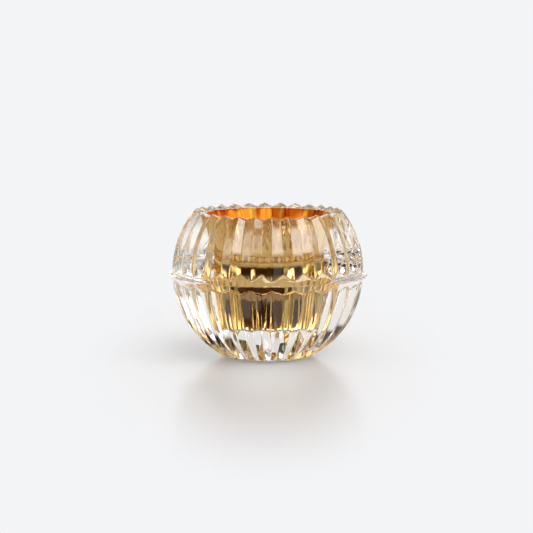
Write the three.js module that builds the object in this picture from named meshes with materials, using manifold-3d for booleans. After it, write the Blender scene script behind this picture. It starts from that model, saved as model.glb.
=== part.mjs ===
// Tealight holder: one heavy piece of ribbed clear crystal, a near sphere with a sharp ridge round its
// middle and an open well, whose well wall carries a fired-on gold lustre. A tealight stands in the well.
// Millimetres, +Z up, origin at the centre of the base's underside.
import * as THREE from 'three';
import { mergeVertices } from 'three/addons/utils/BufferGeometryUtils.js';
import Module from 'manifold-3d';

// ---- driving dimensions: crystal body ----
const RIBS = 28;                 // three-sided ribs round the body, running from rim to base
const CREST_PHASE_DEG = -87.4;   // direction of the first rib's crest
const SPHERE_R = 47.9;           // sphere that the rib crests lie on
const SPHERE_Z = 42.8;           // height of that sphere's centre
const FACE_TILT_MID_DEG = 18.0;  // tilt of a rib's two faces from the tangent, at the ridge
const FACE_TILT_TOP_DEG = 21.0;  // at the rim
const FACE_TILT_BASE_DEG = 34.0; // at the base
const RIDGE_R = 50.0;            // the ridge is a plain circle
const RIDGE_Z = 41.2;
const RIM_Z = 73.9;              // rim height at a crest
const RIM_DIP = 1.7;             // the rim drops this much at each groove
const LIP_ROUND = 0.9;           // rounding of the rim's outer edge
const LIP_INNER = [[32.2, 72.4], [32.1, 71.85]]; // inner edge of the sloping rim, at a crest and at a groove
const WELL_MOUTH_R = 31.6;
const WELL_R = 22.3;             // the well's foot, below a wall with 2.5 degrees of draft
const WELL_FLOOR_Z = 20.2;
const WELL_CORNER_R = 1.2;       // fillet between the well's wall and floor
const FOOT_BEVEL = 0.8;          // polished edge round the flat base

// the ridge's two sides, radius and height above the ridge
const RIDGE_UNDERSIDE = [[50.0, -0.15], [47.75, -2.45], [46.0, -4.1], [44.0, -6.0]];
const RIDGE_COLLAR = [[50.0, 0.0], [49.0, 0.75], [47.9, 1.75], [46.9, 3.2], [46.2, 5.0], [45.7, 7.5]];
// the well's wall from the mouth down, radius and height above the base
const WELL_WALL = [[WELL_MOUTH_R, 71.5], [30.5, 69.5], [28.6, 65.5], [26.6, 61.0], [24.9, 57.0], [23.75, 53.0], [23.4, 48.0], [22.97, 38.0], [WELL_R, 21.4]];

// ---- driving dimensions: gold lustre ----
const LUSTRE_GAP = 0.3;          // to the crystal
const LUSTRE_T = 0.4;
const LUSTRE_LOW_Z = 21.4;
const LUSTRE_TOP_Z = 71.0;

// ---- driving dimensions: tealight ----
const CUP_R = 18.9;              // outside radius of the aluminium cup
const CUP_BEAD_R = 19.35;        // rolled edge at its top
const CUP_H = 16.5;
const CUP_WALL = 0.45;
const CUP_STAND = 0.3;           // gap under the cup
const WAX_GAP = 0.3;
const WAX_H = 13.6;
const WAX_DISH = 0.9;            // the wax's top is lower in the middle
const SUSTAINER_R = 6.2;
const SUSTAINER_T = 0.5;
const SUSTAINER_NECK_R = 1.6;
const SUSTAINER_NECK_H = 3.2;
const WICK_R = 0.75;
const WICK_ABOVE_WAX = 7.0;

const TAU = 2 * Math.PI;
const HALF = Math.PI / RIBS;     // angle from a crest to the next groove
const rad = THREE.MathUtils.degToRad;
const lerp = THREE.MathUtils.lerp;
const wasm = await Module();
wasm.setup();

// ---- crystal body ----
const crestR = (z) => Math.sqrt(Math.max(SPHERE_R ** 2 - (z - SPHERE_Z) ** 2, 1));
function faceTilt(z) {
  if (z > RIDGE_Z) return rad(lerp(FACE_TILT_MID_DEG, FACE_TILT_TOP_DEG, Math.min((z - RIDGE_Z) / (RIM_Z - RIDGE_Z), 1)));
  return rad(lerp(FACE_TILT_MID_DEG, FACE_TILT_BASE_DEG, Math.min((RIDGE_Z - z) / RIDGE_Z, 1)));
}
// point of a rib's flat face at height z, u = 0 on the crest and 1 in the groove: radius and angle from the crest
function ribPoint(z, u) {
  const rc = crestR(z);
  const rg = rc - rc * Math.sin(HALF) * Math.tan(faceTilt(z));
  const x = lerp(rc, rg * Math.cos(HALF), u);
  const y = lerp(0, rg * Math.sin(HALF), u);
  return [Math.hypot(x, y), Math.atan2(y, x)];
}
// a smooth curve through radius-height pairs, as n + 1 points evenly spaced
function smooth(pairs, n) {
  const c = new THREE.CatmullRomCurve3(pairs.map(([r, z]) => new THREE.Vector3(r, z, 0)), false, 'catmullrom', 0.5);
  return c.getSpacedPoints(n).map((p) => [p.x, p.y]);
}
// where the rib's surface comes out through one side of the ridge
function meets(side, u) {
  for (let i = 1; i < side.length; i++) {
    const f0 = ribPoint(side[i - 1][1], u)[0] - side[i - 1][0];
    const f1 = ribPoint(side[i][1], u)[0] - side[i][0];
    if (f0 < 0 && f1 >= 0) {
      const w = -f0 / (f1 - f0);
      return i - 1 + w;
    }
  }
  throw new Error('the ribs never meet the ridge');
}
const onCurve = (side, t) => {
  const j = Math.min(Math.floor(t), side.length - 2);
  return [lerp(side[j][0], side[j + 1][0], t - j), lerp(side[j][1], side[j + 1][1], t - j)];
};
const underside = smooth(RIDGE_UNDERSIDE.map(([r, z]) => [r, RIDGE_Z + z]), 60);
const collar = smooth(RIDGE_COLLAR.map(([r, z]) => [r, RIDGE_Z + z]), 60);
const wall = smooth(WELL_WALL, 13);

// the body's whole section on one side of a rib, base centre to well floor centre: [radius, height, angle from crest]
function section(u) {
  const rows = [];
  const foot = ribPoint(0, u);
  rows.push([0, 0, foot[1]], [foot[0] - FOOT_BEVEL, 0, foot[1]]);
  const tu = meets(underside, u), tc = meets(collar, u);
  const low = onCurve(underside, tu)[1], high = onCurve(collar, tc)[1];
  for (let i = 0; i <= 11; i++) {
    const z = lerp(0.55, low, i / 11), [r, a] = ribPoint(z, u);
    rows.push([r, z, a]);
  }
  for (const k of [0.5, 0]) {
    const [r, z] = onCurve(underside, tu * k);
    rows.push([r, z, ribPoint(z, u)[1]]);
  }
  for (const k of [0, 0.33, 0.66, 1]) {
    const [r, z] = onCurve(collar, tc * k);
    rows.push([r, z, ribPoint(z, u)[1]]);
  }
  const top = RIM_Z - RIM_DIP * u, lip = top - LIP_ROUND;
  for (let i = 1; i <= 9; i++) {
    const z = lerp(high, lip, i / 9), [r, a] = ribPoint(z, u);
    rows.push([r, z, a]);
  }
  // the rim: a rounded outer edge, then a slope down to the inner edge of the mouth
  const [ro, ao] = ribPoint(top, u), [ra] = ribPoint(lip, u);
  const inner = [lerp(LIP_INNER[0][0], LIP_INNER[1][0], u), lerp(LIP_INNER[0][1], LIP_INNER[1][1], u)];
  const k = LIP_ROUND / Math.hypot(inner[0] - ro, inner[1] - top);
  const start = [lerp(ro, inner[0], k), lerp(top, inner[1], k)];
  for (const q of [0.5, 1])
    rows.push([(1 - q) ** 2 * ra + 2 * q * (1 - q) * ro + q * q * start[0], (1 - q) ** 2 * lip + 2 * q * (1 - q) * top + q * q * start[1], ao]);
  rows.push([inner[0] + 0.25, inner[1] + 0.05, ao]);
  const ri = wall[0][0], zi = wall[0][1];
  rows.push([ri, zi, ao]);
  for (const [r, z] of wall.slice(1)) rows.push([r, z, ao]);
  for (const d of [30, 60, 90]) {
    const t = rad(d);
    rows.push([WELL_R - WELL_CORNER_R + WELL_CORNER_R * Math.cos(t), WELL_FLOOR_Z + WELL_CORNER_R * (1 - Math.sin(t)), ao]);
  }
  rows.push([0, WELL_FLOOR_Z, ao]);
  return rows;
}

// A lathed body with two columns to a rib, whose points are then moved out to the crests and in to the grooves.
function crystalGeometry() {
  const sections = [section(0), section(1)];
  const n = sections[0].length;
  const g = new THREE.LatheGeometry(sections[0].map(([r, z]) => new THREE.Vector2(r, z)), RIBS * 2);
  const p = g.getAttribute('position');
  for (let i = 0; i <= RIBS * 2; i++) {
    for (let j = 0; j < n; j++) {
      const [r, z] = sections[i % 2][j];
      const th = rad(CREST_PHASE_DEG) + HALF * (i % (RIBS * 2));
      p.setXYZ(i * n + j, r * Math.cos(th), r * Math.sin(th), z);
    }
  }
  return g;
}

// ---- helpers for the turned pieces ----
function lathe(pairs, segments, phase = 0) {
  const g = new THREE.LatheGeometry(pairs.map(([r, z]) => new THREE.Vector2(r, z)), segments);
  g.rotateX(Math.PI / 2);
  if (phase) g.rotateZ(phase);
  return g;
}
function solid(geometry) {
  const g = geometry.clone();
  g.deleteAttribute('normal');
  g.deleteAttribute('uv');
  const m = mergeVertices(g, 1e-4);
  const index = [];
  for (let i = 0; i < m.index.count; i += 3) {
    const [a, b, c] = [m.index.getX(i), m.index.getX(i + 1), m.index.getX(i + 2)];
    if (a !== b && b !== c && c !== a) index.push(a, b, c);
  }
  return new wasm.Manifold(new wasm.Mesh({
    numProp: 3,
    vertProperties: new Float32Array(m.getAttribute('position').array),
    triVerts: new Uint32Array(index),
  }));
}
function geometryOf(manifold) {
  const m = manifold.getMesh();
  const g = new THREE.BufferGeometry();
  g.setAttribute('position', new THREE.BufferAttribute(new Float32Array(m.vertProperties), 3));
  g.setIndex(new THREE.BufferAttribute(new Uint32Array(m.triVerts), 1));
  return g;
}

// ---- gold lustre: a thin sleeve that follows the well's wall, open at both ends ----
function lustreGeometry() {
  const side = (d) => {
    const out = [];
    for (let i = 0; i <= 11; i++) {
      const z = lerp(LUSTRE_LOW_Z, LUSTRE_TOP_Z, i / 11);
      out.push([radiusAt(z) - d / Math.cos(lean(z)), z]);
    }
    return out;
  };
  const outer = side(LUSTRE_GAP), inner = side(LUSTRE_GAP + LUSTRE_T).reverse();
  return lathe([...outer, ...inner, outer[0]], RIBS * 2, Math.PI / 2 + rad(CREST_PHASE_DEG));
}
const fine = smooth(WELL_WALL, 200);
function radiusAt(z) {
  for (let i = 1; i < fine.length; i++)
    if (fine[i][1] <= z) {
      const w = (fine[i - 1][1] - z) / (fine[i - 1][1] - fine[i][1]);
      return lerp(fine[i - 1][0], fine[i][0], w);
    }
  return WELL_R;
}
// the wall's lean from the vertical at height z
const lean = (z) => Math.atan2(radiusAt(Math.min(z + 0.5, 71.4)) - radiusAt(Math.max(z - 0.5, 21.4)), 1);

// ---- tealight ----
const CUP_Z = WELL_FLOOR_Z + CUP_STAND;
function cupGeometry() {
  return lathe([
    [0, CUP_Z], [CUP_R - 0.9, CUP_Z], [CUP_R - 0.3, CUP_Z + 0.35], [CUP_R, CUP_Z + 1.2], [CUP_R, CUP_Z + CUP_H - 1.2],
    [CUP_BEAD_R, CUP_Z + CUP_H - 0.9], [CUP_BEAD_R, CUP_Z + CUP_H - 0.25], [CUP_R, CUP_Z + CUP_H],
    [CUP_R - CUP_WALL, CUP_Z + CUP_H - 0.2], [CUP_R - CUP_WALL, CUP_Z + 1.3], [CUP_R - CUP_WALL - 0.5, CUP_Z + CUP_WALL], [0, CUP_Z + CUP_WALL],
  ], 48);
}
const SUSTAINER_Z = CUP_Z + CUP_WALL + 0.3;
function sustainerGeometry() {
  const plate = solid(lathe([[0, SUSTAINER_Z], [SUSTAINER_R, SUSTAINER_Z], [SUSTAINER_R, SUSTAINER_Z + SUSTAINER_T],
    [SUSTAINER_NECK_R, SUSTAINER_Z + SUSTAINER_T + 0.4], [SUSTAINER_NECK_R - 0.1, SUSTAINER_Z + SUSTAINER_NECK_H], [0, SUSTAINER_Z + SUSTAINER_NECK_H]], 32));
  const bore = solid(lathe([[0, SUSTAINER_Z + 0.3], [WICK_R + 0.3, SUSTAINER_Z + 0.3], [WICK_R + 0.3, SUSTAINER_Z + 9], [0, SUSTAINER_Z + 9]], 24));
  return geometryOf(plate.subtract(bore));
}
const WAX_Z = CUP_Z + CUP_WALL + WAX_GAP;
const WAX_R = CUP_R - CUP_WALL - WAX_GAP;
function waxGeometry() {
  const cake = solid(lathe([
    [0, WAX_Z], [WAX_R - 0.6, WAX_Z], [WAX_R, WAX_Z + 1.0], [WAX_R, WAX_Z + WAX_H], [WAX_R - 1.0, WAX_Z + WAX_H - 0.35],
    [WAX_R - 4, WAX_Z + WAX_H - 0.7], [WAX_R - 10, WAX_Z + WAX_H - WAX_DISH], [0, WAX_Z + WAX_H - WAX_DISH],
  ], 48));
  const pocket = solid(lathe([[0, WAX_Z - 1], [SUSTAINER_R + 0.3, WAX_Z - 1], [SUSTAINER_R + 0.3, SUSTAINER_Z + SUSTAINER_T + 0.5],
    [SUSTAINER_NECK_R + 0.4, SUSTAINER_Z + SUSTAINER_T + 0.9], [SUSTAINER_NECK_R + 0.4, SUSTAINER_Z + SUSTAINER_NECK_H + 0.3], [0, SUSTAINER_Z + SUSTAINER_NECK_H + 0.3]], 32));
  const hole = solid(lathe([[0, WAX_Z], [WICK_R + 0.3, WAX_Z], [WICK_R + 0.3, WAX_Z + WAX_H + 3], [0, WAX_Z + WAX_H + 3]], 24));
  return geometryOf(cake.subtract(pocket).subtract(hole));
}
function wickGeometry() {
  const foot = SUSTAINER_Z + 0.6, top = WAX_Z + WAX_H + WICK_ABOVE_WAX - WAX_DISH;
  return lathe([[0, foot], [WICK_R, foot], [WICK_R, top - 0.4], [WICK_R - 0.3, top], [0, top]], 12);
}

// ---- assembly ----
const holder = new THREE.Group();
const add = (parent, name, geometry, color, roughness, metalness, more = {}) => {
  const mesh = new THREE.Mesh(geometry, new THREE.MeshStandardMaterial({ color, roughness, metalness, ...more }));
  mesh.name = name;
  parent.add(mesh);
  return mesh;
};
add(holder, 'crystal_body', crystalGeometry(), 0xf4f1ea, 0.02, 0.0, { transparent: true, opacity: 0.35 });
add(holder, 'gold_lustre_film', lustreGeometry(), 0xd9931f, 0.12, 1.0);

const tealight = new THREE.Group();
add(tealight, 'tealight_cup', cupGeometry(), 0xc9cacc, 0.3, 1.0);
add(tealight, 'tealight_wax', waxGeometry(), 0xf6f1e6, 0.5, 0.0);
add(tealight, 'wick_sustainer', sustainerGeometry(), 0xb9babd, 0.35, 1.0);
add(tealight, 'tealight_wick', wickGeometry(), 0xefe8d8, 0.9, 0.0);
holder.add(tealight);

export default holder;
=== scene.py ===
"""Looks of the ribbed crystal tealight holder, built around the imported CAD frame. Metres, +Z up."""
import math

import bpy
import numpy as np
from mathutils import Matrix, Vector


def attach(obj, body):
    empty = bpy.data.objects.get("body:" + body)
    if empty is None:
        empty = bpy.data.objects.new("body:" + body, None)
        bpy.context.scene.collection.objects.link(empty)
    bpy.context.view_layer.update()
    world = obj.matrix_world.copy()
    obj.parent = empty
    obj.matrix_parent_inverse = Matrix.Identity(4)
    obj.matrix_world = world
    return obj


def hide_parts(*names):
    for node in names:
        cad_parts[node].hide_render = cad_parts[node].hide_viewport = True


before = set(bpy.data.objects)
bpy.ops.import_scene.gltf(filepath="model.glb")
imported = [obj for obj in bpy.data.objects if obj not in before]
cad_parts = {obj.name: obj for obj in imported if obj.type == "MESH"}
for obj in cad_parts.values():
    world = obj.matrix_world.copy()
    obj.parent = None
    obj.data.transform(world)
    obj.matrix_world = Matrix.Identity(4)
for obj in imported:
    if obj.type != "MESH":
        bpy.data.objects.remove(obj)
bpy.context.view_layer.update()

MM = 0.001

# ------------------------------------------------------------------ crystal body
N = 28
HALF = math.pi / N
CREST_PHASE = math.radians(-87.4)
SPHERE_R, SPHERE_Z = 47.9, 42.8
TILT_MID, TILT_TOP, TILT_BASE = 18.0, 21.0, 34.0
CREST_ROUND, GROOVE_ROUND = 0.42, 0.48
FACE_BULGE = 0.0
RIDGE_R, RIDGE_Z = 50.0, 41.2
RIM_Z, RIM_DIP, LIP_ROUND = 73.9, 1.7, 0.9
LIP_INNER = [(32.2, 72.4), (32.1, 71.85)]     # inner edge of the sloping rim, at a crest and in a groove
WELL_WALL = [(31.6, 71.5), (30.5, 69.5), (28.6, 65.5), (26.6, 61.0), (24.9, 57.0), (23.75, 53.0), (23.4, 48.0), (22.97, 38.0), (22.3, 21.4)]
WELL_R, WELL_FLOOR_Z, WELL_CORNER = 22.3, 20.2, 1.2
FOOT_BEVEL = 0.8
CUP_Z, CUP_R, CUP_H, CUP_BEAD, FOIL = 20.5, 18.9, 16.5, 0.45, 0.2
SUSTAINER_Z, WAX_Z, WAX_TOP, WAX_DISH = 21.25, 21.25, 34.85, 0.9
WICK_R, WICK_FOOT, WICK_TOP = 0.75, 21.85, 40.95
UNDERSIDE = [(50.0, -0.15), (47.75, -2.45), (46.0, -4.1), (44.0, -6.0)]
COLLAR = [(50.0, 0.0), (49.0, 0.75), (47.9, 1.75), (46.9, 3.2), (46.2, 5.0), (45.7, 7.5)]


def crest_r(z):
    return math.sqrt(max(SPHERE_R ** 2 - (z - SPHERE_Z) ** 2, 1.0))


def tilt(z):
    if z > RIDGE_Z:
        return math.radians(TILT_MID + (TILT_TOP - TILT_MID) * min((z - RIDGE_Z) / (RIM_Z - RIDGE_Z), 1))
    return math.radians(TILT_MID + (TILT_BASE - TILT_MID) * min((RIDGE_Z - z) / RIDGE_Z, 1))


def half_rib(z, us):
    """Points of half a rib's section at height z, u = 0 at the crest and 1 in the groove, both rounded off."""
    rc = crest_r(z)
    rg = rc - rc * math.sin(HALF) * math.tan(tilt(z))
    c = np.array([rc, 0.0])
    g = np.array([rg * math.cos(HALF), rg * math.sin(HALF)])
    length = np.linalg.norm(g - c)
    t = (g - c) / length
    n = np.array([t[1], -t[0]])
    if n[0] < 0:
        n = -n
    ca, ga = min(CREST_ROUND, 0.3 * length), min(GROOVE_ROUND, 0.25 * length)
    out = []
    for u in us:
        p = c + (g - c) * u + n * 4 * u * (1 - u) * FACE_BULGE * length / 5.3
        s = u * length
        if s < ca:
            e2 = c + t * ca
            e1 = np.array([e2[0], -e2[1]])
            q = 0.5 + 0.5 * s / ca
            p = (1 - q) ** 2 * e1 + 2 * q * (1 - q) * c + q * q * e2
        elif length - s < ga:
            e1 = g - t * ga
            a = 2 * HALF
            e2 = np.array([math.cos(a) * e1[0] + math.sin(a) * e1[1], math.sin(a) * e1[0] - math.cos(a) * e1[1]])
            q = 0.5 * (s - (length - ga)) / ga
            p = (1 - q) ** 2 * e1 + 2 * q * (1 - q) * g + q * q * e2
        out.append(p)
    return np.array(out)


def smooth_curve(points, n):
    """A Catmull-Rom curve through (r, z) points as n points evenly spaced."""
    p = np.array(points, float)
    ext = np.vstack([2 * p[0] - p[1], p, 2 * p[-1] - p[-2]])
    out = []
    for i in range(1, len(ext) - 2):
        p0, p1, p2, p3 = ext[i - 1:i + 3]
        for t in np.linspace(0, 1, 24, endpoint=False):
            out.append(0.5 * ((2 * p1) + (-p0 + p2) * t + (2 * p0 - 5 * p1 + 4 * p2 - p3) * t * t
                              + (-p0 + 3 * p1 - 3 * p2 + p3) * t ** 3))
    out.append(p[-1])
    out = np.array(out)
    s = np.concatenate([[0], np.cumsum(np.linalg.norm(np.diff(out, axis=0), axis=1))])
    q = np.linspace(0, s[-1], n)
    return np.column_stack([np.interp(q, s, out[:, 0]), np.interp(q, s, out[:, 1])])


US = [0.0, 0.022, 0.046, 0.074, 0.104, 0.16, 0.5, 0.85, 0.886, 0.917, 0.946, 0.974, 1.0]
WELL_POINTS = smooth_curve(WELL_WALL, 34)


def body_sections():
    """For each u, the section from the base's centre over the outside and rim to the well floor's centre."""
    zt = np.linspace(0.0, RIM_Z, 260)
    tab = np.array([half_rib(z, US) for z in zt])
    rad, ang = np.hypot(tab[..., 0], tab[..., 1]), np.arctan2(tab[..., 1], tab[..., 0])
    under = smooth_curve([(r, RIDGE_Z + z) for r, z in UNDERSIDE], 80)
    collar = smooth_curve([(r, RIDGE_Z + z) for r, z in COLLAR], 80)
    out = []
    for k, u in enumerate(US):
        def body(z):
            return float(np.interp(z, zt, rad[:, k])), float(np.interp(z, zt, ang[:, k]))

        def meets(curve):
            f = np.array([body(z)[0] - r for r, z in curve])
            for i in range(1, len(f)):
                if f[i - 1] < 0 <= f[i]:
                    w = -f[i - 1] / (f[i] - f[i - 1])
                    return i - 1 + w
            raise ValueError("the ribs never meet the ridge")

        def on(curve, i):
            j = min(int(i), len(curve) - 2)
            return curve[j] * (1 - (i - j)) + curve[j + 1] * (i - j)
        tu, tc = meets(under), meets(collar)
        low, high = on(under, tu)[1], on(collar, tc)[1]
        rows, tag = [], []
        foot = body(0.0)
        for r in (0.0, 6.0, 12.0, foot[0] - FOOT_BEVEL - 0.05, foot[0] - FOOT_BEVEL):
            rows.append((r, 0.0, foot[1]))
        for z in 0.55 + (low - 0.55) * np.linspace(0, 1, 36):
            r, a = body(z)
            rows.append((r, z, a))
        for i in np.linspace(tu, 0, 6)[1:]:
            r, z = on(under, i)
            rows.append((r, z, body(z)[1]))
        for i in np.linspace(0, tc, 12):
            r, z = on(collar, i)
            rows.append((r, z, body(z)[1]))
        top = RIM_Z - RIM_DIP * u
        lip = top - LIP_ROUND
        for z in high + (lip - high) * np.linspace(0, 1, 32)[1:]:
            r, a = body(z)
            rows.append((r, z, a))
        (ra, _), (ro, ao) = body(lip), body(top)
        inner = np.array(LIP_INNER[0]) * (1 - u) + np.array(LIP_INNER[1]) * u
        corner, wall_top = np.array([ro, top]), np.array(WELL_POINTS[0])
        slope = (inner - corner) / np.linalg.norm(inner - corner)
        for p0, c, p1, qs in ((np.array([ra, lip]), corner, corner + slope * LIP_ROUND, (0.2, 0.4, 0.6, 0.8, 1.0)),
                              (inner - slope * 0.6, inner, wall_top, (0.0, 0.25, 0.5, 0.75))):
            for q in qs:
                r, z = (1 - q) ** 2 * p0 + 2 * q * (1 - q) * c + q * q * p1
                rows.append((r, z, ao))
        n_out = len(rows)
        rows.append((*WELL_POINTS[0], ao))
        rows += [(r, z, ao) for r, z in WELL_POINTS[1:]]
        for th in np.linspace(0, math.pi / 2, 7)[1:]:
            rows.append((WELL_R - WELL_CORNER + WELL_CORNER * math.cos(th), WELL_FLOOR_Z + WELL_CORNER * (1 - math.sin(th)), ao))
        for r in (12.0, 6.0, 0.0):
            rows.append((r, WELL_FLOOR_Z, ao))
        out.append(rows)
    return out, n_out


def grid_mesh(name, ring_points, n_cols):
    """ring_points[row] is an (n_cols, 3) array of millimetre points or one point on the axis; quads between the rows."""
    verts, index = [], []
    for ring in ring_points:
        ring = np.asarray(ring, float)
        if ring.ndim == 1:
            index.append([len(verts)] * n_cols)
            verts.append(ring * MM)
        else:
            index.append(list(range(len(verts), len(verts) + n_cols)))
            verts.extend(ring * MM)
    faces, rows = [], []
    for k in range(len(index) - 1):
        lo, hi = index[k], index[k + 1]
        for c in range(n_cols):
            d = (c + 1) % n_cols
            f = [lo[c], lo[d], hi[d], hi[c]]
            g = [v for i, v in enumerate(f) if v != f[i - 1]]
            if len(set(g)) > 2:
                faces.append(g)
                rows.append(k)
    mesh = bpy.data.meshes.new(name)
    mesh.from_pydata([tuple(v) for v in verts], [], faces)
    mesh.polygons.foreach_set("use_smooth", [True] * len(mesh.polygons))
    mesh.update()
    obj = bpy.data.objects.new(name, mesh)
    bpy.context.scene.collection.objects.link(obj)
    return obj, rows


def make_crystal():
    sections, n_out = body_sections()
    cols = [(k, False) for k in range(len(US))] + [(k, True) for k in range(len(US) - 2, 0, -1)]
    rings = []
    for j in range(len(sections[0])):
        if sections[0][j][0] < 1e-9:
            rings.append((0.0, 0.0, sections[0][j][1]))
            continue
        ring = []
        for rib in range(N):
            for k, mirrored in cols:
                r, z, a = sections[k][j]
                th = CREST_PHASE + rib * 2 * HALF + (2 * HALF - a if mirrored else a)
                ring.append((r * math.cos(th), r * math.sin(th), z))
        rings.append(ring)
    return grid_mesh("crystal_body_cut", rings, len(cols) * N)


def lathe(name, pairs, n):
    rings = []
    for r, z in pairs:
        if r < 1e-9:
            rings.append((0.0, 0.0, z))
        else:
            th = CREST_PHASE + np.arange(n) * 2 * math.pi / n
            rings.append(np.column_stack([r * np.cos(th), r * np.sin(th), np.full(n, z)]))
    return grid_mesh(name, rings, n)[0]


def offset_wall(d, z_low, z_top, n=60):
    """The well's wall moved d millimetres into the hollow, from z_low up to z_top."""
    w = smooth_curve(WELL_WALL, n)[::-1]
    tangent = np.gradient(w, axis=0)
    tangent /= np.linalg.norm(tangent, axis=1)[:, None]
    p = np.column_stack([w[:, 0] - d * tangent[:, 1], w[:, 1] + d * tangent[:, 0]])
    zs = np.concatenate([[z_low], p[(p[:, 1] > z_low + 0.1) & (p[:, 1] < z_top - 0.1), 1], [z_top]])
    return [(float(np.interp(z, p[:, 1], p[:, 0])), float(z)) for z in zs]


# ------------------------------------------------------------------ materials
def new_material(name):
    m = bpy.data.materials.new(name)
    m.use_nodes = True
    m.node_tree.nodes.clear()
    return m, m.node_tree


def node(tree, kind, **inputs):
    n = tree.nodes.new(kind)
    for k, v in inputs.items():
        if k in n.inputs:
            n.inputs[k].default_value = v
    return n


def tex(tree, kind, vector, **inputs):
    n = node(tree, kind, **inputs)
    tree.links.new(vector, n.inputs["Vector"])
    return n


def math_node(tree, op, a, b=None):
    n = tree.nodes.new("ShaderNodeMath")
    n.operation = op
    for i, v in enumerate((a, b)):
        if v is None:
            continue
        if isinstance(v, (int, float)):
            n.inputs[i].default_value = v
        else:
            tree.links.new(v, n.inputs[i])
    return n.outputs[0]


def ramp_node(tree, value, stops):
    n = tree.nodes.new("ShaderNodeValToRGB")
    tree.links.new(value, n.inputs["Fac"])
    e = n.color_ramp.elements
    while len(e) < len(stops):
        e.new(0.5)
    for el, (pos, col) in zip(e, stops):
        el.position = pos
        el.color = (*col, 1) if len(col) == 3 else col
    return n.outputs["Color"]


def map_range(tree, value, lo, hi, a=0.0, b=1.0):
    n = tree.nodes.new("ShaderNodeMapRange")
    tree.links.new(value, n.inputs["Value"])
    n.inputs["From Min"].default_value, n.inputs["From Max"].default_value = a, b
    n.inputs["To Min"].default_value, n.inputs["To Max"].default_value = lo, hi
    return n.outputs[0]


def bump(tree, height, strength, distance):
    n = tree.nodes.new("ShaderNodeBump")
    n.inputs["Strength"].default_value = strength
    n.inputs["Distance"].default_value = distance
    tree.links.new(height, n.inputs["Height"])
    return n.outputs[0]


def crystal_material():
    m, t = new_material("crystal_clear")
    out = node(t, "ShaderNodeOutputMaterial")
    b = t.nodes.new("ShaderNodeBsdfPrincipled")
    b.inputs["Base Color"].default_value = (0.935, 0.905, 0.85, 1)
    b.inputs["Roughness"].default_value = 0.0
    b.inputs["IOR"].default_value = 1.55
    b.inputs["Transmission Weight"].default_value = 1.0
    oc = t.nodes.new("ShaderNodeTexCoord")
    wave = tex(t, "ShaderNodeTexNoise", oc.outputs["Object"], Scale=170.0, Detail=1.0, Roughness=0.4)
    peel = tex(t, "ShaderNodeTexNoise", oc.outputs["Object"], Scale=620.0, Detail=1.0, Roughness=0.4)
    h = math_node(t, "ADD", wave.outputs["Fac"], math_node(t, "MULTIPLY", peel.outputs["Fac"], 0.12))
    t.links.new(bump(t, h, 1.0, 0.00002), b.inputs["Normal"])
    t.links.new(b.outputs[0], out.inputs["Surface"])
    return m


GOLD_REFLECT = (0.725, 0.485, 0.178, 1)
GOLD_THROUGH = (1.0, 0.60, 0.18, 1)


def painted_rib_light_bands(t, xyz):
    """Painted light: upright bands round the axis, yellow, orange and deep red, standing in for the bright and dark
    bands that the crystal's ribs throw through the film.
    """
    flat = t.nodes.new("ShaderNodeCombineXYZ")
    t.links.new(xyz.outputs[0], flat.inputs[0])
    t.links.new(xyz.outputs[1], flat.inputs[1])
    unit = t.nodes.new("ShaderNodeVectorMath")
    unit.operation = "NORMALIZE"
    t.links.new(flat.outputs[0], unit.inputs[0])
    band_noise = tex(t, "ShaderNodeTexNoise", unit.outputs[0], Scale=9.0, Detail=2.0, Roughness=0.6)
    return ramp_node(t, band_noise.outputs["Fac"], [(0.39, (0.40, 0.02, 0.002)), (0.44, (1.0, 0.10, 0.004)), (0.50, (1.0, 0.34, 0.012)),
                                                (0.54, (1.0, 0.14, 0.006)), (0.60, (1.0, 0.74, 0.10))])


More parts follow.
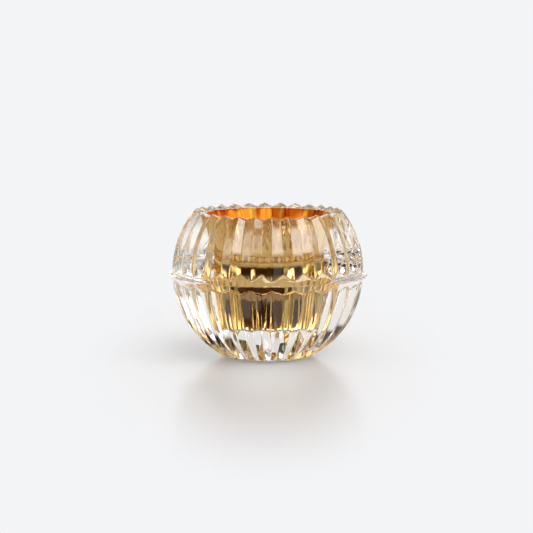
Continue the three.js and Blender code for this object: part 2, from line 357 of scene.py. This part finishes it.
def film_material(name, reflect, through, low, high, z0, z1, back=None, painted_bands=False):
    """A fired metallic film: mirror-like, and lets a tinted share through, low below height z0 and high above z1.

    back is the same four numbers for the film as met from its other side."""
    m, t = new_material(name)
    out = node(t, "ShaderNodeOutputMaterial")
    gloss = t.nodes.new("ShaderNodeBsdfGlossy")
    gloss.inputs["Color"].default_value = reflect
    gloss.inputs["Roughness"].default_value = 0.02
    thru = t.nodes.new("ShaderNodeBsdfTransparent")
    thru.inputs["Color"].default_value = through
    mix = t.nodes.new("ShaderNodeMixShader")
    geo = t.nodes.new("ShaderNodeTexCoord")
    xyz = t.nodes.new("ShaderNodeSeparateXYZ")
    t.links.new(geo.outputs["Object"], xyz.inputs[0])
    ramp = t.nodes.new("ShaderNodeMapRange")
    ramp.interpolation_type = "SMOOTHSTEP"
    t.links.new(xyz.outputs[2], ramp.inputs["Value"])
    ramp.inputs["From Min"].default_value = z0 * MM
    ramp.inputs["From Max"].default_value = z1 * MM
    ramp.inputs["To Min"].default_value = low
    ramp.inputs["To Max"].default_value = high
    share = ramp.outputs[0]
    if back:
        other = t.nodes.new("ShaderNodeMapRange")
        other.interpolation_type = "SMOOTHSTEP"
        t.links.new(xyz.outputs[2], other.inputs["Value"])
        other.inputs["From Min"].default_value, other.inputs["From Max"].default_value = back[2] * MM, back[3] * MM
        other.inputs["To Min"].default_value, other.inputs["To Max"].default_value = back[0], back[1]
        side = t.nodes.new("ShaderNodeNewGeometry")
        pick = t.nodes.new("ShaderNodeMix")
        pick.data_type = "FLOAT"
        t.links.new(side.outputs["Backfacing"], pick.inputs[0])
        t.links.new(ramp.outputs[0], pick.inputs[2])
        t.links.new(other.outputs[0], pick.inputs[3])
        share = pick.outputs[0]
    metal = gloss.outputs[0]
    # painted light: the air side's see-through colour and a matt share take the painted bands of light and shade from
    # the ribs
    if painted_bands:
        tint = painted_rib_light_bands(t, xyz)
        t.links.new(tint, thru.inputs["Color"])
        band_diffuse = t.nodes.new("ShaderNodeBsdfDiffuse")
        t.links.new(tint, band_diffuse.inputs["Color"])
        blend = t.nodes.new("ShaderNodeMixShader")
        blend.inputs[0].default_value = 0.68
        t.links.new(gloss.outputs[0], blend.inputs[1])
        t.links.new(band_diffuse.outputs[0], blend.inputs[2])
        metal = blend.outputs[0]
    t.links.new(share, mix.inputs[0])
    t.links.new(metal, mix.inputs[1])
    t.links.new(thru.outputs[0], mix.inputs[2])
    t.links.new(mix.outputs[0], out.inputs["Surface"])
    return m


# ------------------------------------------------------------------ build
crystal, crystal_rows = make_crystal()
crystal.data.materials.append(crystal_material())
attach(crystal, "holder")
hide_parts("crystal_body")

FILM_TOP, FILM_LOW = 71.4, 20.9
skin_out = offset_wall(-0.06, FILM_LOW, FILM_TOP)
skin_in = offset_wall(0.06, FILM_LOW, FILM_TOP)
film = lathe("gold_lustre_fired_film", skin_out + skin_in[::-1] + skin_out[:1], 168)
film.data.materials.append(film_material("gold_lustre_glass_side", GOLD_REFLECT, GOLD_THROUGH, 0.02, 0.24, 62.0, 71.0, (0.2, 0.97, 50.0, 63.0)))
# the air side carries painted light: upright yellow, orange and red bands for the light that the ribs throw through the
# film
film.data.materials.append(film_material("gold_lustre_air_side", (1.0, 0.27, 0.02, 1), (1.0, 0.36, 0.05, 1), 0.45, 0.60, 56.0, 66.0, painted_bands=True))
per_row = 168
for p in film.data.polygons:
    if p.index // per_row >= len(skin_out) - 1:
        p.material_index = 1
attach(film, "holder")
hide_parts("gold_lustre_film")


# ------------------------------------------------------------------ tealight
def arc(cr, cz, radius, a0, a1, n):
    return [(cr + radius * math.cos(math.radians(a)), cz + radius * math.sin(math.radians(a))) for a in np.linspace(a0, a1, n)]


def line(p, q, n):
    return [(p[0] + (q[0] - p[0]) * t, p[1] + (q[1] - p[1]) * t) for t in np.linspace(0, 1, n)]


def ease(x):
    x = min(max(x, 0.0), 1.0)
    return x * x * (3 - 2 * x)


def shaped_lathe(name, pairs, n, shape):
    """Like lathe, but shape(r, z, angles) gives each ring's radius and height round the axis."""
    rings = []
    th = np.arange(n) * 2 * math.pi / n
    for r, z in pairs:
        if r < 1e-9:
            rings.append((0.0, 0.0, z))
        else:
            rr, zz = shape(r, z, th)
            rings.append(np.column_stack([rr * np.cos(th), rr * np.sin(th), zz]))
    return grid_mesh(name, rings, n)[0]


def cup_shape(r, z, th):
    """Pressed foil: fine upright pleats in the wall, and a shallow star pressed into the bottom."""
    up = ease((z - CUP_Z - 1.4) / 1.6) * ease((CUP_Z + CUP_H - 1.1 - z) / 1.0) * ease((r - 18.0) / 0.4)
    pleat = 0.5 * np.cos(84 * th) + 0.22 * np.cos(31 * th + 0.7) + 0.28 * np.cos(127 * th + 1.9)
    rr = r - up * 0.055 * (1 + pleat)
    ring = ease((r - 12.6) / 0.8) * ease((17.0 - r) / 0.8) * (1 if z < CUP_Z + 0.5 else 0)
    return rr, z + ring * 0.07 * (1 + np.cos(36 * th))


cup_top = CUP_Z + CUP_H
cup_pairs = ([(0.0, CUP_Z + 0.35)] + line((3.0, CUP_Z + 0.35), (11.0, CUP_Z + 0.35), 5)
             + line((11.3, CUP_Z + 0.31), (11.9, CUP_Z + 0.04), 3) + line((12.2, CUP_Z), (17.5, CUP_Z), 12)
             + arc(17.6, CUP_Z + 1.3, 1.3, -88, 0, 9) + line((CUP_R, CUP_Z + 2.0), (CUP_R, cup_top - 1.5), 22)
             + line((CUP_R, cup_top - 1.25), (CUP_R + 0.02, cup_top - 0.95), 3)
             + arc(CUP_R, cup_top - CUP_BEAD, CUP_BEAD, -70, 200, 15)
             + line((CUP_R - FOIL, cup_top - 0.95), (CUP_R - FOIL, cup_top - 1.5), 3)
             + line((CUP_R - FOIL, cup_top - 2.0), (CUP_R - FOIL, CUP_Z + 2.0), 22)
             + arc(17.6, CUP_Z + 1.3, 1.3 - FOIL, 0, -88, 9) + line((17.4, CUP_Z + FOIL), (12.2, CUP_Z + FOIL), 12)
             + line((11.9, CUP_Z + FOIL + 0.04), (11.3, CUP_Z + FOIL + 0.31), 3)
             + line((11.0, CUP_Z + FOIL + 0.35), (3.0, CUP_Z + FOIL + 0.35), 5) + [(0.0, CUP_Z + FOIL + 0.35)])
cup = shaped_lathe("tealight_cup_pressed_foil", cup_pairs, 504, cup_shape)


def wax_shape(r, z, th):
    """Poured and set: a low uneven swell round the wick, and a faint ripple near the wall."""
    top = ease((z - WAX_TOP + 2.2) / 0.8)
    swell = 0.07 * np.cos(2 * th + 0.6) + 0.05 * np.cos(3 * th - 1.1) + 0.025 * np.cos(7 * th + r * 0.5)
    zz = z + top * ease((r - 1.2) / 3.0) * ease((18.0 - r) / 2.5) * swell
    return np.full_like(th, r), zz


WAX_R = CUP_R - FOIL - 0.12
dish = WAX_TOP - WAX_DISH
wax_pairs = (line((6.6, WAX_Z), (WAX_R - 1.3, WAX_Z), 7) + arc(WAX_R - 1.2, WAX_Z + 1.2, 1.2, -85, 0, 7)
             + line((WAX_R, WAX_Z + 2.0), (WAX_R, WAX_TOP - 0.3), 10)
             + [(WAX_R - 0.02, WAX_TOP - 0.08), (WAX_R - 0.07, WAX_TOP), (WAX_R - 0.16, WAX_TOP - 0.03)]
             + [(WAX_R - d, WAX_TOP - 0.9 * (1 - math.exp(-(d / 1.5) ** 0.8)) + 0.03 * math.exp(-((d - 5) / 1.6) ** 2)) for d in
                (0.3, 0.5, 0.75, 1.05, 1.4, 1.8, 2.3, 2.9, 3.6, 4.4, 5.2, 6.0, 7.0, 8.2, 9.5, 11.0, 12.3, 13.5, 14.5)]
             + [(WICK_R + 0.06 + d, dish + 0.85 * math.exp(-d / 0.45) - 0.14 * math.exp(-((d - 2.0) / 1.2) ** 2)) for d in
                (2.6, 2.1, 1.7, 1.35, 1.05, 0.8, 0.6, 0.42, 0.28, 0.16, 0.07, 0.0)]
             + line((WICK_R + 0.05, dish), (WICK_R + 0.05, SUSTAINER_Z + 4.2), 8)
             + [(WICK_R + 0.3, SUSTAINER_Z + 3.6), (2.0, SUSTAINER_Z + 3.45), (2.05, SUSTAINER_Z + 1.6), (2.3, SUSTAINER_Z + 1.05),
                (6.4, SUSTAINER_Z + 0.95), (6.55, SUSTAINER_Z + 0.8), (6.6, WAX_Z)])
wax = shaped_lathe("tealight_wax_fill", wax_pairs, 192, wax_shape)


def sustainer_shape(r, z, th):
    """Stamped tin: three stiffening ribs in the plate, and a neck crimped on to the wick from four sides."""
    neck = ease((z - SUSTAINER_Z - 1.2) / 0.6) * ease((2.2 - r) / 0.4)
    rib = ease((r - 2.4) / 0.6) * ease((5.6 - r) / 0.6)
    return r - neck * 0.14 * (1 - np.abs(np.cos(2 * th))), z + rib * 0.16 * np.exp(-((np.cos(1.5 * th)) / 0.25) ** 2)


sustainer_pairs = (line((1.02, SUSTAINER_Z), (5.9, SUSTAINER_Z), 12) + arc(6.0, SUSTAINER_Z + 0.12, 0.12, -80, 80, 5)
                   + line((5.8, SUSTAINER_Z + 0.25), (2.1, SUSTAINER_Z + 0.25), 12)
                   + [(1.85, SUSTAINER_Z + 0.32), (1.68, SUSTAINER_Z + 0.5), (1.6, SUSTAINER_Z + 0.8)]
                   + line((1.55, SUSTAINER_Z + 1.1), (1.45, SUSTAINER_Z + 3.05), 9) + [(1.4, SUSTAINER_Z + 3.18), (1.28, SUSTAINER_Z + 3.2), (1.2, SUSTAINER_Z + 3.12)]
                   + line((1.2, SUSTAINER_Z + 2.95), (1.05, SUSTAINER_Z + 0.3), 9) + [(1.02, SUSTAINER_Z)])
sustainer = shaped_lathe("wick_sustainer_stamped_tin", sustainer_pairs, 96, sustainer_shape)


def make_wick():
    """A flat-plaited cotton wick: strands cross left and right up its length, and the waxed tip leans a little."""
    n, rows = 60, 330
    th = np.arange(n) * 2 * math.pi / n
    rings = [(0.0, 0.0, WICK_FOOT)]
    for i in range(rows):
        t = i / (rows - 1)
        z = WICK_FOOT + (WICK_TOP - WICK_FOOT) * t
        k = 2 * math.pi / 2.3
        right, left = np.cos(3 * th + k * z), np.cos(3 * th - k * z)
        plait = 0.085 * np.maximum(right, left) + 0.012 * np.cos(21 * (th + np.where(right > left, 1, -1) * z * 0.8))
        squeeze = 0.80 if z < SUSTAINER_Z + 3.4 else 0.80 + 0.20 * ease((z - SUSTAINER_Z - 3.4) / 2.0)
        tip = math.sqrt(max(1 - max((z - (WICK_TOP - 0.55)) / 0.55, 0.0) ** 2 * 0.85, 0.02))
        rr = (0.64 + plait) * squeeze * tip
        lean = 0.55 * max((z - 35.2) / 5.75, 0.0) ** 1.6
        rings.append(np.column_stack([rr * np.cos(th) + lean, rr * 0.9 * np.sin(th) + 0.2 * lean, np.full(n, z)]))
    rings.append((0.55, 0.11, WICK_TOP + 0.01))
    return grid_mesh("tealight_wick_plaited", rings, n)[0]


wick = make_wick()


def foil_material(name, base, dark, rough, scale):
    """Rolled aluminium: long faint rolling streaks in tone and roughness, and small dents."""
    m, t = new_material(name)
    out = node(t, "ShaderNodeOutputMaterial")
    b = t.nodes.new("ShaderNodeBsdfPrincipled")
    b.inputs["Metallic"].default_value = 1.0
    oc = t.nodes.new("ShaderNodeTexCoord")
    stretch = t.nodes.new("ShaderNodeMapping")
    stretch.inputs["Scale"].default_value = (1.0, 1.0, 0.08)
    t.links.new(oc.outputs["Object"], stretch.inputs["Vector"])
    streak = tex(t, "ShaderNodeTexNoise", stretch.outputs[0], Scale=scale * 3.2, Detail=6.0, Roughness=0.6)
    dent = tex(t, "ShaderNodeTexNoise", oc.outputs["Object"], Scale=scale * 0.5, Detail=3.0, Roughness=0.5)
    t.links.new(ramp_node(t, streak.outputs["Fac"], [(0.25, dark), (0.75, base)]), b.inputs["Base Color"])
    t.links.new(map_range(t, streak.outputs["Fac"], rough, rough + 0.16, 0.3, 0.7), b.inputs["Roughness"])
    h = math_node(t, "ADD", math_node(t, "MULTIPLY", streak.outputs["Fac"], 0.25), dent.outputs["Fac"])
    t.links.new(bump(t, h, 0.5, 0.00012), b.inputs["Normal"])
    t.links.new(b.outputs[0], out.inputs["Surface"])
    return m


def wax_material():
    """Poured paraffin: milky and slightly see-through, with the faint frosting that it sets with."""
    m, t = new_material("wax_paraffin")
    out = node(t, "ShaderNodeOutputMaterial")
    b = t.nodes.new("ShaderNodeBsdfPrincipled")
    b.inputs["Subsurface Weight"].default_value = 0.55
    b.inputs["Subsurface Radius"].default_value = (1.0, 0.72, 0.45)
    b.inputs["Subsurface Scale"].default_value = 0.004
    b.inputs["IOR"].default_value = 1.44
    oc = t.nodes.new("ShaderNodeTexCoord")
    cloud = tex(t, "ShaderNodeTexNoise", oc.outputs["Object"], Scale=220.0, Detail=5.0, Roughness=0.55, Distortion=0.8)
    frost = tex(t, "ShaderNodeTexVoronoi", oc.outputs["Object"], Scale=1400.0)
    t.links.new(ramp_node(t, cloud.outputs["Fac"], [(0.30, (0.86, 0.82, 0.74)), (0.55, (0.93, 0.90, 0.84)), (0.75, (0.96, 0.94, 0.90))]), b.inputs["Base Color"])
    t.links.new(map_range(t, cloud.outputs["Fac"], 0.30, 0.52, 0.3, 0.7), b.inputs["Roughness"])
    h = math_node(t, "ADD", cloud.outputs["Fac"], math_node(t, "MULTIPLY", frost.outputs["Distance"], 0.12))
    t.links.new(bump(t, h, 0.35, 0.0002), b.inputs["Normal"])
    t.links.new(b.outputs[0], out.inputs["Surface"])
    return m


def wick_material():
    """Waxed cotton: cream threads, with painted shade in the crevices between them where the fine fibre bump is low,
    and a patchy random tone.
    """
    m, t = new_material("wick_waxed_cotton")
    out = node(t, "ShaderNodeOutputMaterial")
    b = t.nodes.new("ShaderNodeBsdfPrincipled")
    b.inputs["Sheen Weight"].default_value = 0.35
    b.inputs["Sheen Roughness"].default_value = 0.5
    oc = t.nodes.new("ShaderNodeTexCoord")
    fibre = tex(t, "ShaderNodeTexNoise", oc.outputs["Object"], Scale=4200.0, Detail=4.0, Roughness=0.65)
    patch = tex(t, "ShaderNodeTexNoise", oc.outputs["Object"], Scale=600.0, Detail=2.0)
    # painted shade: the colour darkens where the fibre bump is low; the larger patches are random tone
    shade = math_node(t, "ADD", math_node(t, "MULTIPLY", fibre.outputs["Fac"], 0.6), math_node(t, "MULTIPLY", patch.outputs["Fac"], 0.4))
    t.links.new(ramp_node(t, shade, [(0.32, (0.42, 0.34, 0.24)), (0.52, (0.72, 0.64, 0.50)), (0.72, (0.86, 0.80, 0.68))]), b.inputs["Base Color"])
    t.links.new(map_range(t, patch.outputs["Fac"], 0.45, 0.85, 0.3, 0.7), b.inputs["Roughness"])
    t.links.new(bump(t, fibre.outputs["Fac"], 0.6, 0.00008), b.inputs["Normal"])
    t.links.new(b.outputs[0], out.inputs["Surface"])
    return m


for piece, cad_node, slot, material in (
        (cup, "tealight_cup", "cup_aluminium", foil_material("aluminium_foil", (0.83, 0.835, 0.84), (0.66, 0.67, 0.68), 0.20, 260.0)),
        (wax, "tealight_wax", "wax", wax_material()),
        (sustainer, "wick_sustainer", "cup_aluminium", foil_material("sustainer_tin", (0.74, 0.745, 0.75), (0.55, 0.55, 0.56), 0.28, 420.0)),
        (wick, "tealight_wick", "wick_cotton", wick_material())):
    piece.data.materials.append(material)
    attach(piece, "tealight")
    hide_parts(cad_node)

# ------------------------------------------------------------------ camera
AIM = Vector((-0.00075, 0.0, 0.0450))
ELEV = math.radians(7.0)
DIST = 1.3
cam_data = bpy.data.cameras.new("camera")
cam_data.sensor_width = 36.0
cam_data.sensor_fit = "HORIZONTAL"
cam_data.lens = 36.0 * DIST / 0.2665
cam_data.clip_start = 0.01
cam_data.clip_end = 100
cam = bpy.data.objects.new("camera", cam_data)
cam.location = AIM + Vector((0, -math.cos(ELEV), math.sin(ELEV))) * DIST
cam.rotation_euler = (AIM - cam.location).to_track_quat("-Z", "Y").to_euler()
bpy.context.scene.collection.objects.link(cam)
bpy.context.scene.camera = cam

# ------------------------------------------------------------------ stage
floor_mesh = bpy.data.meshes.new("studio_floor")
S = 6.0
floor_mesh.from_pydata([(-S, -S, 0), (S, -S, 0), (S, S, 0), (-S, S, 0)], [], [(0, 1, 2, 3)])
floor = bpy.data.objects.new("studio_floor", floor_mesh)
floor.location = (0, 0, -0.00002)
bpy.context.scene.collection.objects.link(floor)
# the table's gloss lies under three clear layers, which lets the lamps tell its mirror image from the object
under = []
for k, label in enumerate(("clear_a", "clear_b", "gloss")):
    mesh = bpy.data.meshes.new("studio_floor_" + label)
    mesh.from_pydata([(-S, -S, 0), (S, -S, 0), (S, S, 0), (-S, S, 0)], [], [(0, 1, 2, 3)])
    plane = bpy.data.objects.new("studio_floor_" + label, mesh)
    plane.location = (0, 0, -0.0001 * (k + 2))
    bpy.context.scene.collection.objects.link(plane)
    under.append(mesh)
for mesh in under[:2]:
    m, t = new_material("studio_" + mesh.name)
    t.links.new(t.nodes.new("ShaderNodeBsdfTransparent").outputs[0], node(t, "ShaderNodeOutputMaterial").inputs["Surface"])
    mesh.materials.append(m)
m, t = new_material("studio_floor_gloss_layer")
gloss_layer = t.nodes.new("ShaderNodeBsdfGlossy")
gloss_layer.inputs["Roughness"].default_value = 0.20
gloss_layer.inputs["Color"].default_value = (1.0, 0.965, 0.92, 1)
t.links.new(gloss_layer.outputs[0], node(t, "ShaderNodeOutputMaterial").inputs["Surface"])
under[2].materials.append(m)
m, t = new_material("studio_floor_white")
out = node(t, "ShaderNodeOutputMaterial")
FLOOR_GLOW = 0.29
diff = t.nodes.new("ShaderNodeBsdfDiffuse")
diff.inputs["Color"].default_value = (0.62, 0.612, 0.60, 1)
glow = t.nodes.new("ShaderNodeEmission")
glow.inputs["Color"].default_value = (1.0, 0.995, 0.985, 1)
lit = t.nodes.new("ShaderNodeAddShader")
t.links.new(diff.outputs[0], lit.inputs[0])
t.links.new(glow.outputs[0], lit.inputs[1])
sheen = t.nodes.new("ShaderNodeBsdfTransparent")
fres = t.nodes.new("ShaderNodeFresnel")
fres.inputs["IOR"].default_value = 1.5
fmix = t.nodes.new("ShaderNodeMixShader")
t.links.new(fres.outputs[0], fmix.inputs[0])
t.links.new(lit.outputs[0], fmix.inputs[1])
t.links.new(sheen.outputs[0], fmix.inputs[2])
# the lit part of the table ends in front: what the crystal mirrors there is dim, while the picture's floor stays pale
fc = t.nodes.new("ShaderNodeTexCoord")
fxyz = t.nodes.new("ShaderNodeSeparateXYZ")
t.links.new(fc.outputs["Object"], fxyz.inputs[0])
fall = t.nodes.new("ShaderNodeMapRange")
fall.interpolation_type = "SMOOTHSTEP"
t.links.new(fxyz.outputs[1], fall.inputs["Value"])
fall.inputs["From Min"].default_value = -0.50
fall.inputs["From Max"].default_value = -0.25
fall.inputs["To Min"].default_value = 0.0
fall.inputs["To Max"].default_value = 1.0
flp = t.nodes.new("ShaderNodeLightPath")
fmax = t.nodes.new("ShaderNodeMath")
fmax.operation = "MAXIMUM"
t.links.new(fall.outputs[0], fmax.inputs[0])
t.links.new(flp.outputs["Is Camera Ray"], fmax.inputs[1])
dim = t.nodes.new("ShaderNodeEmission")
dim.inputs["Color"].default_value = (0.33, 0.29, 0.26, 1)
last = t.nodes.new("ShaderNodeMixShader")
t.links.new(fmax.outputs[0], last.inputs[0])
t.links.new(dim.outputs[0], last.inputs[1])
t.links.new(fmix.outputs[0], last.inputs[2])
glow.inputs["Strength"].default_value = FLOOR_GLOW
# painted light and shade on the table, seen only in the crystal's first reflections: the table glows warm to the left
# and right of the object, and a strip from 36 mm left to 14 mm right of its axis is painted nearly dark
near = t.nodes.new("ShaderNodeMath"); near.operation = "LESS_THAN"; near.inputs[1].default_value = 1.5
t.links.new(flp.outputs["Ray Depth"], near.inputs[0])
notcam = t.nodes.new("ShaderNodeMath"); notcam.operation = "SUBTRACT"; notcam.inputs[0].default_value = 1.0
t.links.new(flp.outputs["Is Camera Ray"], notcam.inputs[1])
veil = t.nodes.new("ShaderNodeMath"); veil.operation = "MULTIPLY"
t.links.new(near.outputs[0], veil.inputs[0])
t.links.new(notcam.outputs[0], veil.inputs[1])
painted_floor_light = t.nodes.new("ShaderNodeEmission")
painted_floor_light.inputs["Color"].default_value = (1.05, 0.88, 0.80, 1)
painted_light_right = t.nodes.new("ShaderNodeMapRange"); painted_light_right.interpolation_type = "SMOOTHSTEP"
t.links.new(fxyz.outputs[0], painted_light_right.inputs["Value"])
painted_light_right.inputs["From Min"].default_value, painted_light_right.inputs["From Max"].default_value = 0.014, 0.026
painted_light_right.inputs["To Min"].default_value, painted_light_right.inputs["To Max"].default_value = 0.04, 1.0
painted_light_left = t.nodes.new("ShaderNodeMapRange"); painted_light_left.interpolation_type = "SMOOTHSTEP"
t.links.new(fxyz.outputs[0], painted_light_left.inputs["Value"])
painted_light_left.inputs["From Min"].default_value, painted_light_left.inputs["From Max"].default_value = -0.036, -0.048
painted_light_left.inputs["To Min"].default_value, painted_light_left.inputs["To Max"].default_value = 0.04, 1.0
side = t.nodes.new("ShaderNodeMath"); side.operation = "MAXIMUM"
t.links.new(painted_light_right.outputs[0], side.inputs[0])
t.links.new(painted_light_left.outputs[0], side.inputs[1])
t.links.new(side.outputs[0], painted_floor_light.inputs["Strength"])
# far from the object the pale floor and the pale backdrop are one even tone
ex = t.nodes.new("ShaderNodeMath"); ex.operation = "MULTIPLY"; ex.inputs[1].default_value = 1 / 0.10
ey = t.nodes.new("ShaderNodeMath"); ey.operation = "MULTIPLY"; ey.inputs[1].default_value = 1 / 0.33
t.links.new(fxyz.outputs[0], ex.inputs[0])
t.links.new(fxyz.outputs[1], ey.inputs[0])
exy = t.nodes.new("ShaderNodeCombineXYZ")
t.links.new(ex.outputs[0], exy.inputs[0])
t.links.new(ey.outputs[0], exy.inputs[1])
dist = t.nodes.new("ShaderNodeVectorMath"); dist.operation = "LENGTH"
t.links.new(exy.outputs[0], dist.inputs[0])
far = t.nodes.new("ShaderNodeMapRange")
far.interpolation_type = "SMOOTHSTEP"
t.links.new(dist.outputs["Value"], far.inputs["Value"])
far.inputs["From Min"].default_value = 0.30
far.inputs["From Max"].default_value = 1.0
farc = t.nodes.new("ShaderNodeMath"); farc.operation = "MULTIPLY"
t.links.new(far.outputs[0], farc.inputs[0])
t.links.new(flp.outputs["Is Camera Ray"], farc.inputs[1])
even = t.nodes.new("ShaderNodeEmission")
even.inputs["Color"].default_value = (0.896, 0.905, 0.922, 1)
final = t.nodes.new("ShaderNodeMixShader")
t.links.new(farc.outputs[0], final.inputs[0])
vmix = t.nodes.new("ShaderNodeMixShader")
t.links.new(veil.outputs[0], vmix.inputs[0])
t.links.new(last.outputs[0], vmix.inputs[1])
t.links.new(painted_floor_light.outputs[0], vmix.inputs[2])
t.links.new(vmix.outputs[0], final.inputs[1])
t.links.new(even.outputs[0], final.inputs[2])
facing = t.nodes.new("ShaderNodeNewGeometry")
from_below = t.nodes.new("ShaderNodeMixShader")
t.links.new(facing.outputs["Backfacing"], from_below.inputs[0])
t.links.new(final.outputs[0], from_below.inputs[1])
t.links.new(t.nodes.new("ShaderNodeBsdfTransparent").outputs[0], from_below.inputs[2])
t.links.new(from_below.outputs[0], out.inputs["Surface"])
floor_mesh.materials.append(m)

# ------------------------------------------------------------------ studio light, as a world seen by direction
world = bpy.data.worlds.new("studio")
bpy.context.scene.world = world
world.use_nodes = True
world.cycles.sampling_method = "NONE"
wt = world.node_tree
wt.nodes.clear()


def wmath(op, a, b=None, clamp=False):
    n = wt.nodes.new("ShaderNodeMath")
    n.operation = op
    n.use_clamp = clamp
    for i, v in enumerate((a, b)):
        if v is None:
            continue
        if isinstance(v, (int, float)):
            n.inputs[i].default_value = v
        else:
            wt.links.new(v, n.inputs[i])
    return n.outputs[0]


def add(*terms):
    out = terms[0]
    for x in terms[1:]:
        out = wmath("ADD", out, x)
    return out


def step(value, a, b):
    """0 at a and 1 at b, smoothly."""
    n = wt.nodes.new("ShaderNodeMapRange")
    n.interpolation_type = "SMOOTHSTEP"
    wt.links.new(value, n.inputs["Value"])
    n.inputs["From Min"].default_value = a
    n.inputs["From Max"].default_value = b
    return n.outputs[0]


coord = wt.nodes.new("ShaderNodeTexCoord")
sep = wt.nodes.new("ShaderNodeSeparateXYZ")
wt.links.new(coord.outputs["Generated"], sep.inputs[0])
X, Y, Z = sep.outputs
azimuth = wmath("MULTIPLY", wmath("ARCTAN2", X, wmath("MULTIPLY", Y, -1.0)), 180 / math.pi)   # 0 towards the camera side, + to the right
elevation = wmath("MULTIPLY", wmath("ARCSINE", Z), 180 / math.pi)


def panel(az0, az1, el0, el1, soft=3.0):
    a = wmath("MULTIPLY", step(azimuth, az0 - soft, az0 + soft), step(azimuth, az1 + soft, az1 - soft))
    e = wmath("MULTIPLY", step(elevation, el0 - soft, el0 + soft), step(elevation, el1 + soft, el1 - soft))
    return wmath("MULTIPLY", a, e)


# (azimuth from, to, elevation from, to, radiance, softness of the edge in degrees)
PANELS = [
    (-7, 18, 25, 76, 8.0, 3),          # key light, two panes with a post between them
    (18, 37, 24, 44, 2.6, 3),
    (37, 67, 21, 66, 7.0, 3),
    (67, 93, 16, 40, 6.5, 3),          # its far end, on the right
    (93, 120, 15, 32, 2.0, 4),
    (-92, -55, 14, 38, 3.8, 4),        # fill light on the left
    (-112, -92, 11, 24, 1.6, 4),
]
LOW_WALLS = [(46, 66, -12, 17, 0.8, 3), (66, 128, -12, 14, 0.33, 4), (-128, -70, -12, 13, 0.36, 5)]   # pale walls below the lamps
FRONT_HIGH, BACK, BACK_TOP, BACK_HIGH, HORIZON = 0.25, 0.93, 0.03, 0.35, 0.2
lp = wt.nodes.new("ShaderNodeLightPath")
calm = wmath("MULTIPLY", wmath("SUBTRACT", 1.0, wmath("MULTIPLY", lp.outputs["Is Diffuse Ray"], 0.45)),
             wmath("SUBTRACT", 1.0, add(wmath("MULTIPLY", wmath("GREATER_THAN", lp.outputs["Transparent Depth"], 0.5), 0.78),
                                        wmath("MULTIPLY", wmath("GREATER_THAN", lp.outputs["Transparent Depth"], 5.5), 0.12))))   # calmer lamps on matt surfaces and in the table's mirror image
behind = step(wmath("ABSOLUTE", azimuth), 84, 96)
not_behind = wmath("SUBTRACT", 1.0, behind)
back_low = wmath("MULTIPLY", behind, step(elevation, 31, 26))
back_high = wmath("MULTIPLY", behind, step(elevation, 26, 31))
front_high = wmath("MULTIPLY", not_behind, step(elevation, 14, 26))
horizon = wmath("MULTIPLY", step(elevation, 0.5, -0.5), not_behind)
away = wmath("ABSOLUTE", azimuth)
cards = wmath("SUBTRACT", 1.0, add(wmath("MULTIPLY", wmath("MULTIPLY", step(away, 99, 101), step(away, 109, 107)), 0.9),
                                   wmath("MULTIPLY", wmath("MULTIPLY", step(away, 127, 129), step(away, 134, 132)), 0.8)))   # black cards beside the backdrop
level = add(
    wmath("MULTIPLY", wmath("MULTIPLY", back_low, BACK), cards),
    wmath("MULTIPLY", back_high, BACK_TOP),
    wmath("MULTIPLY", wmath("MULTIPLY", behind, step(elevation, 45, 52)), BACK_HIGH),
    wmath("MULTIPLY", horizon, HORIZON),
    wmath("MULTIPLY", front_high, FRONT_HIGH),
    wmath("MULTIPLY", add(*[wmath("MULTIPLY", panel(a0, a1, e0, e1, sf), v) for a0, a1, e0, e1, v, sf in PANELS]), calm),
)
low_wall = wt.nodes.new("ShaderNodeBackground")
low_wall.inputs["Color"].default_value = (0.80, 0.98, 1.10, 1)
wt.links.new(wmath("MULTIPLY", add(*[wmath("MULTIPLY", panel(a0, a1, e0, e1, sf), v) for a0, a1, e0, e1, v, sf in LOW_WALLS]), calm),
             low_wall.inputs["Strength"])
bg = wt.nodes.new("ShaderNodeBackground")
bg.inputs["Color"].default_value = (0.99, 1.0, 1.03, 1)
wt.links.new(level, bg.inputs["Strength"])
room = wt.nodes.new("ShaderNodeBackground")      # the unlit room in front
room.inputs["Color"].default_value = (0.036, 0.013, 0.009, 1)
wt.links.new(not_behind, room.inputs["Strength"])
lamps = wt.nodes.new("ShaderNodeAddShader")
wt.links.new(bg.outputs[0], lamps.inputs[0])
wt.links.new(low_wall.outputs[0], lamps.inputs[1])
both = wt.nodes.new("ShaderNodeAddShader")
wt.links.new(lamps.outputs[0], both.inputs[0])
wt.links.new(room.outputs[0], both.inputs[1])
pale = wt.nodes.new("ShaderNodeBackground")
pale.inputs["Color"].default_value = (0.896, 0.905, 0.922, 1)
pale.inputs["Strength"].default_value = 1.0
wmix = wt.nodes.new("ShaderNodeMixShader")
wt.links.new(lp.outputs["Is Camera Ray"], wmix.inputs[0])
wt.links.new(both.outputs[0], wmix.inputs[1])
wt.links.new(pale.outputs[0], wmix.inputs[2])
wout = wt.nodes.new("ShaderNodeOutputWorld")
wt.links.new(wmix.outputs[0], wout.inputs["Surface"])

scene = bpy.context.scene
scene.view_settings.view_transform = "Standard"
scene.view_settings.look = "None"
scene.cycles.max_bounces = 24
scene.cycles.transmission_bounces = 24
scene.cycles.glossy_bounces = 16
scene.cycles.transparent_max_bounces = 24
scene.cycles.sample_clamp_indirect = 4.0
scene.cycles.caustics_reflective = False
scene.cycles.caustics_refractive = False
